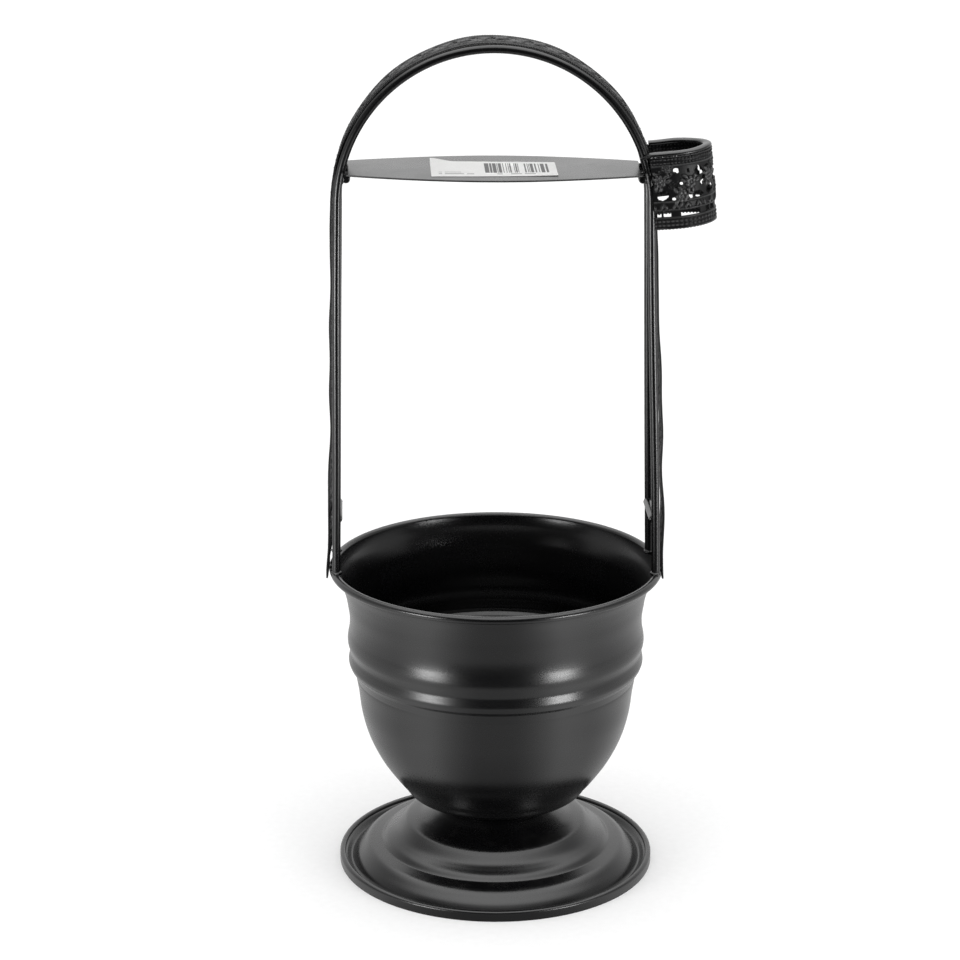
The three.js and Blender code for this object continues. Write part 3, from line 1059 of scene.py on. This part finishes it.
FLOOR_REACH = 40.0             # metres from the middle to the floor's edge
BOX_AZIMUTH = 49               # each softbox from straight in front, in degrees
BOX_ELEVATION = -3.5
BOX_DISTANCE = 1.3             # metres
BOX_POWER = 7.5
BOX_SIZE = (0.42, 0.3)


def floor_glow(n):
    """Painted reflection: light the floor gives off to mirror rays though it is no lamp, bright round
    the bucket, dark far off in front, and a painted shadow close round the foot.
    """
    place = n.add("ShaderNodeSeparateXYZ", {0: n.place}).outputs
    across = n.math("ABSOLUTE", n.math("SUBTRACT", place["X"], URN_AXIS[0]))
    squares = n.math("ADD", n.math("POWER", across, 2.0), n.math("POWER", place["Y"], 2.0))
    out = n.math("SQRT", squares)
    ahead = n.math("DIVIDE", n.times(place["Y"], -1.0), n.math("MAXIMUM", out, 0.01))
    centre = n.remap(ahead, 0.68, 0.97, 1.65, 0.62)
    flanks = n.remap(ahead, 0.2, 0.62, 1.05, 1.65)
    pool = n.math("MINIMUM", centre, flanks)
    pool = n.times(pool, n.remap(ahead, -0.9, 0.1, 0.8, 1.0))
    far = n.remap(out, 0.44, 0.56, 0.0, 0.99)
    horizon = n.times(n.remap(ahead, 0.75, 0.9, 0.0, 1.0), far)
    glow = n.times(pool, n.math("SUBTRACT", 1.0, horizon))
    # Painted shadow: darker close round the foot.
    return n.times(glow, n.remap(out, 0.09, 0.2, 0.6, 1.0))


def build_floor():
    """A plain pale floor. Mirror rays see the painted reflection of floor_glow, given off as light,
    in place of its colour.
    """
    mesh = bpy.data.meshes.new("studio_floor")
    corners = [(-1, -1), (1, -1), (1, 1), (-1, 1)]
    mesh.from_pydata([(x * FLOOR_REACH, y * FLOOR_REACH, 0) for x, y in corners], [], [(0, 1, 2, 3)])
    floor = bpy.data.objects.new("studio_floor", mesh)
    bpy.context.scene.collection.objects.link(floor)
    n = Finish("studio_floor")
    ray = n.add("ShaderNodeLightPath").outputs
    mirrored = ray["Is Glossy Ray"]
    speckle = n.remap(n.noise(220.0, 5.0), 0.3, 0.7, 0.97, 1.0)
    tone = n.times(n.remap(ray["Is Camera Ray"], 0.0, 1.0, 0.62, 0.93), speckle)
    tone = n.times(tone, n.math("SUBTRACT", 1.0, mirrored))
    colour = n.add("ShaderNodeCombineColor", {0: tone, 1: tone, 2: tone}).outputs[0]
    # Painted reflection: the floor glows for mirror rays though it is no lamp.
    glow = n.times(floor_glow(n), mirrored)
    mesh.materials.append(n.finish(Base_Color=colour, Roughness=0.9, Specular_IOR_Level=0.0,
                                   Emission_Color=(1, 1, 1, 1), Emission_Strength=glow))


def build_world():
    """White surroundings, with a dark room in front for the paint to mirror."""
    world = bpy.data.worlds.new("studio")
    bpy.context.scene.world = world
    world.use_nodes = True
    n = Nodes(world.node_tree)
    n.tree.nodes.clear()
    incoming = n.add("ShaderNodeNewGeometry").outputs["Incoming"]
    outgoing = n.add("ShaderNodeVectorMath", {0: incoming, 1: (-1, -1, -1)}, operation="MULTIPLY")
    axes = n.add("ShaderNodeSeparateXYZ", {0: outgoing.outputs[0]}).outputs
    front, up = n.times(axes["Y"], -1.0), axes["Z"]
    ahead = n.remap(front, 0.2, 0.42, 0.0, 1.0, "SMOOTHSTEP")
    low = n.remap(up, 0.5, 0.78, 1.0, 0.0, "SMOOTHSTEP")
    dark = n.times(ahead, low)
    behind = n.remap(front, -0.9, -0.2, 1.15, 0.6, "SMOOTHSTEP")
    overhead = n.remap(up, 0.55, 0.9, 0.0, 2.8, "SMOOTHSTEP")
    lit = n.math("SUBTRACT", 1.0, n.times(dark, 0.985))
    glow = n.times(n.math("ADD", behind, overhead), lit)
    path = n.add("ShaderNodeLightPath").outputs
    plain = n.math("MAXIMUM", path["Is Camera Ray"], path["Is Diffuse Ray"])
    mirrored = n.times(glow, n.math("SUBTRACT", 1.0, plain))
    strength = n.math("ADD", mirrored, n.times(plain, 1.1))
    light = n.add("ShaderNodeBackground", {"Color": (1, 1, 1, 1), "Strength": strength})
    n.add("ShaderNodeOutputWorld", {0: light.outputs[0]})


def build_softboxes():
    """A softbox on each side, in front, at about the height of the urn's rim."""
    target = URN_AXIS + Vector((0, 0, 0.25))
    elevation = math.radians(BOX_ELEVATION)
    for name, side in (("left_box", -1), ("right_box", 1)):
        azimuth = math.radians(side * BOX_AZIMUTH)
        level = math.cos(elevation)
        away = Vector((math.sin(azimuth) * level, -math.cos(azimuth) * level, math.sin(elevation)))
        data = bpy.data.lights.new(name, "AREA")
        data.shape = "RECTANGLE"
        data.size, data.size_y = BOX_SIZE
        data.energy = BOX_POWER
        lamp = bpy.data.objects.new(name, data)
        lamp.location = target + away * BOX_DISTANCE
        lamp.rotation_euler = away.to_track_quat("Z", "Y").to_euler()
        bpy.context.scene.collection.objects.link(lamp)


CAMERA_LENS = 109.6            # millimetres, on a 36 mm sensor
CAMERA_PITCH = 17.14           # degrees down from level
CAMERA_TURN = 0.0053           # radians to the left
CAMERA_PLACE = (-0.0007, -1.6652, 0.7565)    # metres from the urn's axis and the floor


def build_camera():
    """A long lens straight in front of the bucket and above it."""
    data = bpy.data.cameras.new("camera")
    data.lens = CAMERA_LENS
    data.sensor_width = 36
    data.clip_end = 200
    camera = bpy.data.objects.new("camera", data)
    camera.location = URN_AXIS + Vector(CAMERA_PLACE)
    camera.rotation_euler = (math.radians(90 - CAMERA_PITCH), 0.0, CAMERA_TURN)
    bpy.context.scene.collection.objects.link(camera)
    bpy.context.scene.camera = camera
    bpy.context.scene.view_settings.view_transform = "Standard"


build_bowl()
build_foot()
build_rods()
build_bars()
build_ribbon()
build_cup_band()
build_cup_ring()
build_tray()
build_sticker()
build_welds()
build_floor()
build_world()
build_softboxes()
build_camera()
